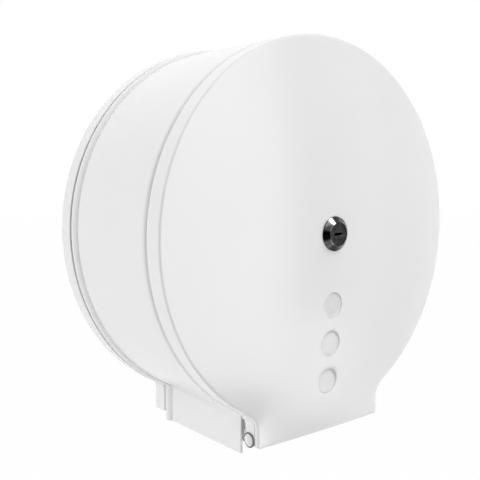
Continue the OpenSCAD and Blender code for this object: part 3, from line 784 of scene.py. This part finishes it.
def make_lock_face():
    """Turned disc on the plug's front, with a dished core round a warded keyway."""
    key = [(KEYWAY_STRETCH[0] * x, KEYWAY_STRETCH[1] * z) for x, z in KEYWAY]

    def inside(x, z):
        return -1.0 if in_polygon(x, z, key) else min(LOCK_FACE_R - math.hypot(x, z), 1.0)

    loops = [ring_points(LOCK_FACE_R, LOCK_TURN), key]
    flat, tris, starts = triangulate(loops, LOCK_STEP, inside)
    base = FACE_FRONT + BEZEL_H - PLUG_SINK
    fronts = [base + lock_relief(x, z) for x, z in flat]
    verts, faces = slab(flat, tris, starts, fronts, base - FACE_BACK)
    obj = new_object("lock_face", verts, faces, sharp=40)
    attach(obj, "lock_core")
    return obj


def make_rivet(side):
    name = "right" if side > 0 else "left"
    dome = (HEAD_R**2 + HEAD_H**2) / (2 * HEAD_H)
    edge = math.degrees(math.asin((dome - HEAD_H) / dome))
    profile = [(max(AXIS_R, r), h + HEAD_H - dome) for r, h in arc(0, 0, dome, 90, edge + 5, 14)]
    profile = [(r, side * (h + HEAD_SEAT)) for r, h in profile + list(SHANK)]
    verts, faces = lathe(profile, RIVET_TURN, "x", (0.0, HINGE[1], HINGE[0]))
    obj = new_object("rivet_" + name, verts, faces, sharp=35)
    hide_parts("hinge_rivet_" + name)
    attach(obj, "housing")
    return obj


def make_washers():
    """The two dark washers under the rivets' heads, with rounded edges; the dark ring that they
    show round each head is partly painted shade.
    """
    t, e = WASHER_T, WASHER_EDGE
    profile = [(WASHER_BORE, 0.0), (WASHER_R, 0.0), (WASHER_R, t - e)]
    profile += [(WASHER_R - 0.3 * e, t - 0.3 * e), (WASHER_R - e, t), (WASHER_BORE, t)]
    parts = []
    for side in (-1, 1):
        placed = [(r, side * (h + HEAD_SEAT - t)) for r, h in profile]
        parts.append(lathe(placed, RIVET_TURN, "x", (0.0, HINGE[1], HINGE[0])))
    verts, faces = join(*parts)
    obj = new_object("washer_pair", verts, faces, sharp=35)
    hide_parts("hinge_washers")
    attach(obj, "housing")
    return obj


# ---- Materials ----

# The range that most of a noise's values lie in, and the part of it over which a colour changes
NOISE_RANGE, TONE_RANGE = (0.3, 0.7), (0.35, 0.65)
# Plastic's grain, as a noise scale, and the depth in metres of grain and of orange peel
PLASTIC_GRAIN, GRAIN_DEPTH, PEEL_DEPTH = 60, 0.0001, 0.00025
# Painted reflections round the lock's cone: share of a turn, and brightness. The bright wedge is a
# painted highlight; the dark sectors are painted reflections of dark surroundings.
PAINTED_REFLECTION_SECTORS = (
    (0.0, 0.003), (0.05, 0.003), (0.08, 0.1), (0.14, 0.12), (0.19, 0.03), (0.3, 0.016),
    (0.5, 0.014), (0.66, 0.02), (0.7, 0.05), (0.74, 0.015), (0.8, 0.03), (0.824, 1.0),
    (0.842, 1.0), (0.858, 0.06), (0.94, 0.07), (0.965, 0.003),
)


class Nodes:
    """A new material on the object's own coordinates, and short names for building its nodes."""

    def __init__(self, name):
        self.mat = bpy.data.materials.new(name)
        self.mat.use_nodes = True
        self.tree = self.mat.node_tree
        self.shader = self.tree.nodes["Principled BSDF"]
        coord = self.tree.nodes.new("ShaderNodeTexCoord")
        self.coord = coord.outputs["Object"]

    def add(self, kind, **settings):
        node = self.tree.nodes.new("ShaderNode" + kind)
        for key, value in settings.items():
            setattr(node, key, value)
        return node

    def link(self, a, b):
        self.tree.links.new(a, b)

    def noise(self, scale, detail=2.0, rough=0.5):
        node = self.add("TexNoise")
        node.inputs["Scale"].default_value = scale
        node.inputs["Detail"].default_value = detail
        node.inputs["Roughness"].default_value = rough
        self.link(self.coord, node.inputs["Vector"])
        return node.outputs["Fac"]

    def span(self, value, low, high, out_low, out_high):
        """Maps a value from one range to another."""
        node = self.add("MapRange")
        node.inputs["From Min"].default_value = low
        node.inputs["From Max"].default_value = high
        node.inputs["To Min"].default_value = out_low
        node.inputs["To Max"].default_value = out_high
        self.link(value, node.inputs["Value"])
        return node.outputs["Result"]

    def rough(self, value, low, high):
        """Roughness from low to high over a noise's usual range."""
        self.link(self.span(value, *NOISE_RANGE, low, high), self.shader.inputs["Roughness"])

    def tone(self, value, dark, light):
        """Colour from dark to light over the middle of a noise's range."""
        node = self.add("ValToRGB")
        for element, place, colour in zip(node.color_ramp.elements, TONE_RANGE, (dark, light)):
            element.position = place
            element.color = (*colour, 1)
        self.link(value, node.inputs["Fac"])
        self.link(node.outputs["Color"], self.shader.inputs["Base Color"])

    def bump(self, value, strength, distance):
        node = self.add("Bump")
        node.inputs["Strength"].default_value = strength
        node.inputs["Distance"].default_value = distance
        self.link(value, node.inputs["Height"])
        self.link(node.outputs["Normal"], self.shader.inputs["Normal"])


def powder_coat(name, light, gloss):
    """White powder coat: fine orange peel, and a very slight unevenness of tone and gloss."""
    m = Nodes(name)
    m.shader.inputs["Coat Weight"].default_value = 0.4
    m.shader.inputs["Coat Roughness"].default_value = 0.2
    m.shader.inputs["Specular IOR Level"].default_value = 0.5
    m.rough(m.noise(14, 3), gloss - 0.03, gloss + 0.03)
    dark = tuple(c * 0.985 for c in light)
    m.tone(m.noise(9, 3), dark, light)
    m.bump(m.noise(900, 2, 0.4), 0.02, PEEL_DEPTH)
    return m.mat


def metal(name, dark, light, rough, grain=(1, 1, 1), scale=120, strength=0.08):
    """Metal with a fine grain in tone, gloss and surface, stretched along the axes by the grain."""
    m = Nodes(name)
    m.shader.inputs["Metallic"].default_value = 1.0
    mapping = m.add("Mapping")
    mapping.inputs["Scale"].default_value = grain
    m.link(m.coord, mapping.inputs["Vector"])
    m.coord = mapping.outputs["Vector"]
    m.rough(m.noise(scale, 4), rough * 0.8, rough * 1.2)
    m.tone(m.noise(scale * 0.6, 4), dark, light)
    m.bump(m.noise(scale * 4, 2), strength, GRAIN_DEPTH)
    return m.mat


def painted_reflection_chrome(name):
    """Dark chrome of the lock with painted reflections: bright and dark sectors round its axis,
    broken into turned streaks, stand in for what it reflects.
    """
    m = Nodes(name)
    m.shader.inputs["Metallic"].default_value = 1.0
    m.shader.inputs["Roughness"].default_value = 0.16
    split = m.add("SeparateXYZ")
    m.link(m.coord, split.inputs[0])
    turn = m.add("Math", operation="ARCTAN2")
    m.link(split.outputs["Z"], turn.inputs[0])
    m.link(split.outputs["X"], turn.inputs[1])
    share = m.span(turn.outputs[0], -math.pi, math.pi, 0.0, 1.0)
    # angular noise that breaks the painted reflection into streaks
    streaks = m.add("TexNoise", noise_dimensions="1D")
    streaks.inputs["Scale"].default_value = 34
    streaks.inputs["Detail"].default_value = 3
    m.link(share, streaks.inputs["W"])
    # painted reflection: a bright highlight wedge and dark sectors, set by angle round the axis
    ramp = m.add("ValToRGB")
    elements = ramp.color_ramp.elements
    elements.remove(elements[1])
    for index, (place, tone) in enumerate(PAINTED_REFLECTION_SECTORS):
        element = elements[0] if index == 0 else elements.new(place)
        element.color = (tone, tone, tone * 1.02, 1)
    m.link(share, ramp.inputs["Fac"])
    scaled = m.add("VectorMath", operation="SCALE")
    m.link(ramp.outputs["Color"], scaled.inputs[0])
    m.link(m.span(streaks.outputs["Fac"], *NOISE_RANGE, 0.5, 1.5), scaled.inputs["Scale"])
    m.link(scaled.outputs[0], m.shader.inputs["Base Color"])
    m.bump(m.noise(2500, 2), 0.03, GRAIN_DEPTH)
    return m.mat


def plastic(name, dark, light, rough, coat=0.0):
    """Moulded plastic with a fine grain."""
    m = Nodes(name)
    m.shader.inputs["Specular IOR Level"].default_value = 0.45
    m.shader.inputs["Coat Weight"].default_value = coat
    m.shader.inputs["Coat Roughness"].default_value = 0.12
    m.rough(m.noise(PLASTIC_GRAIN, 3), rough - 0.05, rough + 0.05)
    m.tone(m.noise(PLASTIC_GRAIN * 0.4, 3), dark, light)
    m.bump(m.noise(PLASTIC_GRAIN * 18, 2), 0.1, GRAIN_DEPTH)
    return m.mat


def put(obj, material):
    obj.data.materials.clear()
    obj.data.materials.append(material)


def make_materials():
    """Materials by slot, and two more for pieces with a look of their own."""
    white = powder_coat("powder_white", (0.81, 0.81, 0.81), 0.22)
    return {
        "white_steel": white,
        "rivet_white": white,
        "hinge_steel": plastic("bracket_paint", (0.54, 0.54, 0.543), (0.6, 0.6, 0.604), 0.5),
        # dark nylon of the washers, partly painted shade for the contact shadow round the rivet
        # heads
        "nylon_dark": plastic("nylon", (0.16, 0.16, 0.162), (0.2, 0.2, 0.203), 0.55),
        "strip_plastic": plastic("strip_opal", (0.6, 0.6, 0.6), (0.63, 0.63, 0.63), 0.25, coat=1.0),
        "hub_plastic": plastic("hub_grey", (0.62, 0.62, 0.63), (0.68, 0.68, 0.69), 0.45),
        "zinc_steel": metal("zinc", (0.5, 0.51, 0.53), (0.64, 0.65, 0.67), 0.38, scale=90),
        "steel_tube": metal(
            "steel_tube", (0.46, 0.47, 0.49), (0.6, 0.61, 0.63), 0.3,
            grain=(1, 0.05, 1), scale=200,
        ),
        "wafer_brass": metal("brass", (0.55, 0.4, 0.16), (0.68, 0.52, 0.25), 0.3),
        "dark_chrome": metal(
            "dark_chrome", (0.008, 0.008, 0.0085), (0.022, 0.022, 0.023), 0.2,
            scale=700, strength=0.12,
        ),
        "lock_painted_reflection": painted_reflection_chrome("lock_painted_reflection"),
    }


def finish_nodes(made):
    """Gives its material to every CAD node that still shows and to every piece made here."""
    materials = make_materials()
    for sub in frame["record"]["subparts"]:
        obj = frame["nodes"].get(sub["node"])
        if obj:
            tube = sub["node"] == "spindle_post"
            put(obj, materials["steel_tube" if tube else sub["material_slot"]])
    for obj, name in made:
        put(obj, materials[name])


# ---- Stage ----


def add_mix(tree, lit, shown):
    """Shader lit for diffuse rays, and shown for camera, glossy and transmission rays."""
    path = tree.nodes.new("ShaderNodeLightPath")
    value = path.outputs["Is Camera Ray"]
    for name in ("Is Glossy Ray", "Is Transmission Ray"):
        either = tree.nodes.new("ShaderNodeMath")
        either.operation = "MAXIMUM"
        tree.links.new(value, either.inputs[0])
        tree.links.new(path.outputs[name], either.inputs[1])
        value = either.outputs[0]
    blend = tree.nodes.new("ShaderNodeMixShader")
    tree.links.new(value, blend.inputs["Fac"])
    tree.links.new(lit, blend.inputs[1])
    tree.links.new(shown, blend.inputs[2])
    return blend.outputs["Shader"]


def floor_material():
    """Pale paint that takes the object's shadow and is nearly white to the camera."""
    mat = bpy.data.materials.new("floor_white")
    mat.use_nodes = True
    tree = mat.node_tree
    glow = tree.nodes.new("ShaderNodeEmission")
    diffuse = tree.nodes["Principled BSDF"]
    diffuse.inputs["Base Color"].default_value = (*FLOOR_TONE, 1)
    diffuse.inputs["Roughness"].default_value = 0.8
    shown = tree.nodes.new("ShaderNodeMixShader")
    shown.inputs["Fac"].default_value = FLOOR_GLOW
    tree.links.new(diffuse.outputs["BSDF"], shown.inputs[1])
    tree.links.new(glow.outputs["Emission"], shown.inputs[2])
    surface = add_mix(tree, diffuse.outputs["BSDF"], shown.outputs["Shader"])
    tree.links.new(surface, tree.nodes["Material Output"].inputs["Surface"])
    return mat


def make_stage():
    size = FLOOR_SIZE
    corners = [(-size, -size), (size, -size), (size, size), (-size, size)]
    mesh = bpy.data.meshes.new("floor")
    mesh.from_pydata([(x, y, FLOOR_Z) for x, y in corners], [], [(0, 1, 2, 3)])
    floor = bpy.data.objects.new("floor", mesh)
    bpy.context.scene.collection.objects.link(floor)
    mesh.materials.append(floor_material())


def direction_of(azimuth, elevation):
    """Unit vector towards a place round the object, with azimuth 0 in front and 90 on the right."""
    a, e = math.radians(azimuth), math.radians(elevation)
    return (math.sin(a) * math.cos(e), -math.cos(a) * math.cos(e), math.sin(e))


def make_world(even, lobes):
    """Soft studio surround that lights matt surfaces: an even level and lobes.

    A lobe is an azimuth, an elevation, a strength and a power. The camera, gloss and glass see
    plain white instead.
    """
    world = bpy.data.worlds.new("studio")
    bpy.context.scene.world = world
    world.use_nodes = True
    tree = world.node_tree
    add, link = tree.nodes.new, tree.links.new

    def maths(operation, first, second):
        node = add("ShaderNodeMath")
        node.operation = operation
        for socket, value in zip(node.inputs, (first, second)):
            if isinstance(value, float):
                socket.default_value = value
            else:
                link(value, socket)
        return node.outputs[0]

    direction = add("ShaderNodeTexCoord").outputs["Generated"]
    total = None
    for azimuth, elevation, strength, power in lobes:
        dot = add("ShaderNodeVectorMath")
        dot.operation = "DOT_PRODUCT"
        link(direction, dot.inputs[0])
        dot.inputs[1].default_value = direction_of(azimuth, elevation)
        lobe = maths("POWER", maths("MAXIMUM", dot.outputs["Value"], 0.0), float(power))
        lobe = maths("MULTIPLY", lobe, float(strength))
        total = maths("ADD", total, lobe) if total else maths("ADD", lobe, float(even))
    soft = tree.nodes["Background"]
    soft.inputs["Color"].default_value = (1, 1, 1, 1)
    link(total, soft.inputs["Strength"])
    shown = add("ShaderNodeBackground")
    shown.inputs["Color"].default_value = (1, 1, 1, 1)
    shown.inputs["Strength"].default_value = 1.0
    surface = add_mix(tree, soft.outputs["Background"], shown.outputs["Background"])
    link(surface, tree.nodes["World Output"].inputs["Surface"])


def card(name, azimuths, heights, level):
    """An upright lamp of an even brightness that only gloss sees: its azimuths and heights."""
    left, right = (math.radians(a) for a in azimuths)
    middle, half = (left + right) / 2, (right - left) / 2
    width, height = 2 * CARD_DISTANCE * math.tan(half), heights[1] - heights[0]
    data = bpy.data.lights.new(name, "AREA")
    data.shape = "RECTANGLE"
    data.size, data.size_y = width, height
    data.energy = level * math.pi * width * height
    obj = bpy.data.objects.new(name, data)
    back = Vector((math.sin(middle), -math.cos(middle), 0.0))
    obj.location = Vector((*CARD_LINE, sum(heights) / 2)) + back * CARD_DISTANCE
    obj.rotation_euler = back.to_track_quat("Z", "Y").to_euler()
    obj.visible_diffuse = False
    obj.visible_camera = False
    bpy.context.scene.collection.objects.link(obj)


def make_lights():
    """Light from behind on the left and from high on the right, and cards that only gloss shows."""
    make_world(EVEN_LIGHT, LOBES)
    for values in CARDS:
        card(*values)


def make_camera():
    back = Vector(direction_of(AZIMUTH, ELEVATION))
    data = bpy.data.cameras.new("camera")
    data.lens, data.sensor_width = LENS, SENSOR
    data.clip_start, data.clip_end = 0.01, 50
    cam = bpy.data.objects.new("camera", data)
    place = Matrix.Translation((Vector(TARGET) + back * DISTANCE) * MM)
    turn = back.to_track_quat("Z", "Y").to_matrix().to_4x4()
    cam.matrix_world = place @ turn @ Matrix.Rotation(math.radians(ROLL), 4, "Z")
    bpy.context.scene.collection.objects.link(cam)
    bpy.context.scene.camera = cam


def build():
    stations = cover_stations()
    profiles = cover_profiles(stations)
    surface = cover_surface(stations, profiles)
    made = [
        (make_casing(), "white_steel"),
        (make_back_plate(), "white_steel"),
        (make_cover(surface, stations, profiles), "white_steel"),
        (make_window_pads(surface), "strip_plastic"),
        # the bezel's cone carries painted reflections in its material
        (make_bezel(), "lock_painted_reflection"),
        (make_lock_face(), "dark_chrome"),
        (make_rivet(1), "rivet_white"),
        (make_rivet(-1), "rivet_white"),
        (make_washers(), "nylon_dark"),
    ]
    finish_nodes(made)
    make_stage()
    make_lights()
    make_camera()
    bpy.context.scene.view_settings.view_transform = "Standard"


build()
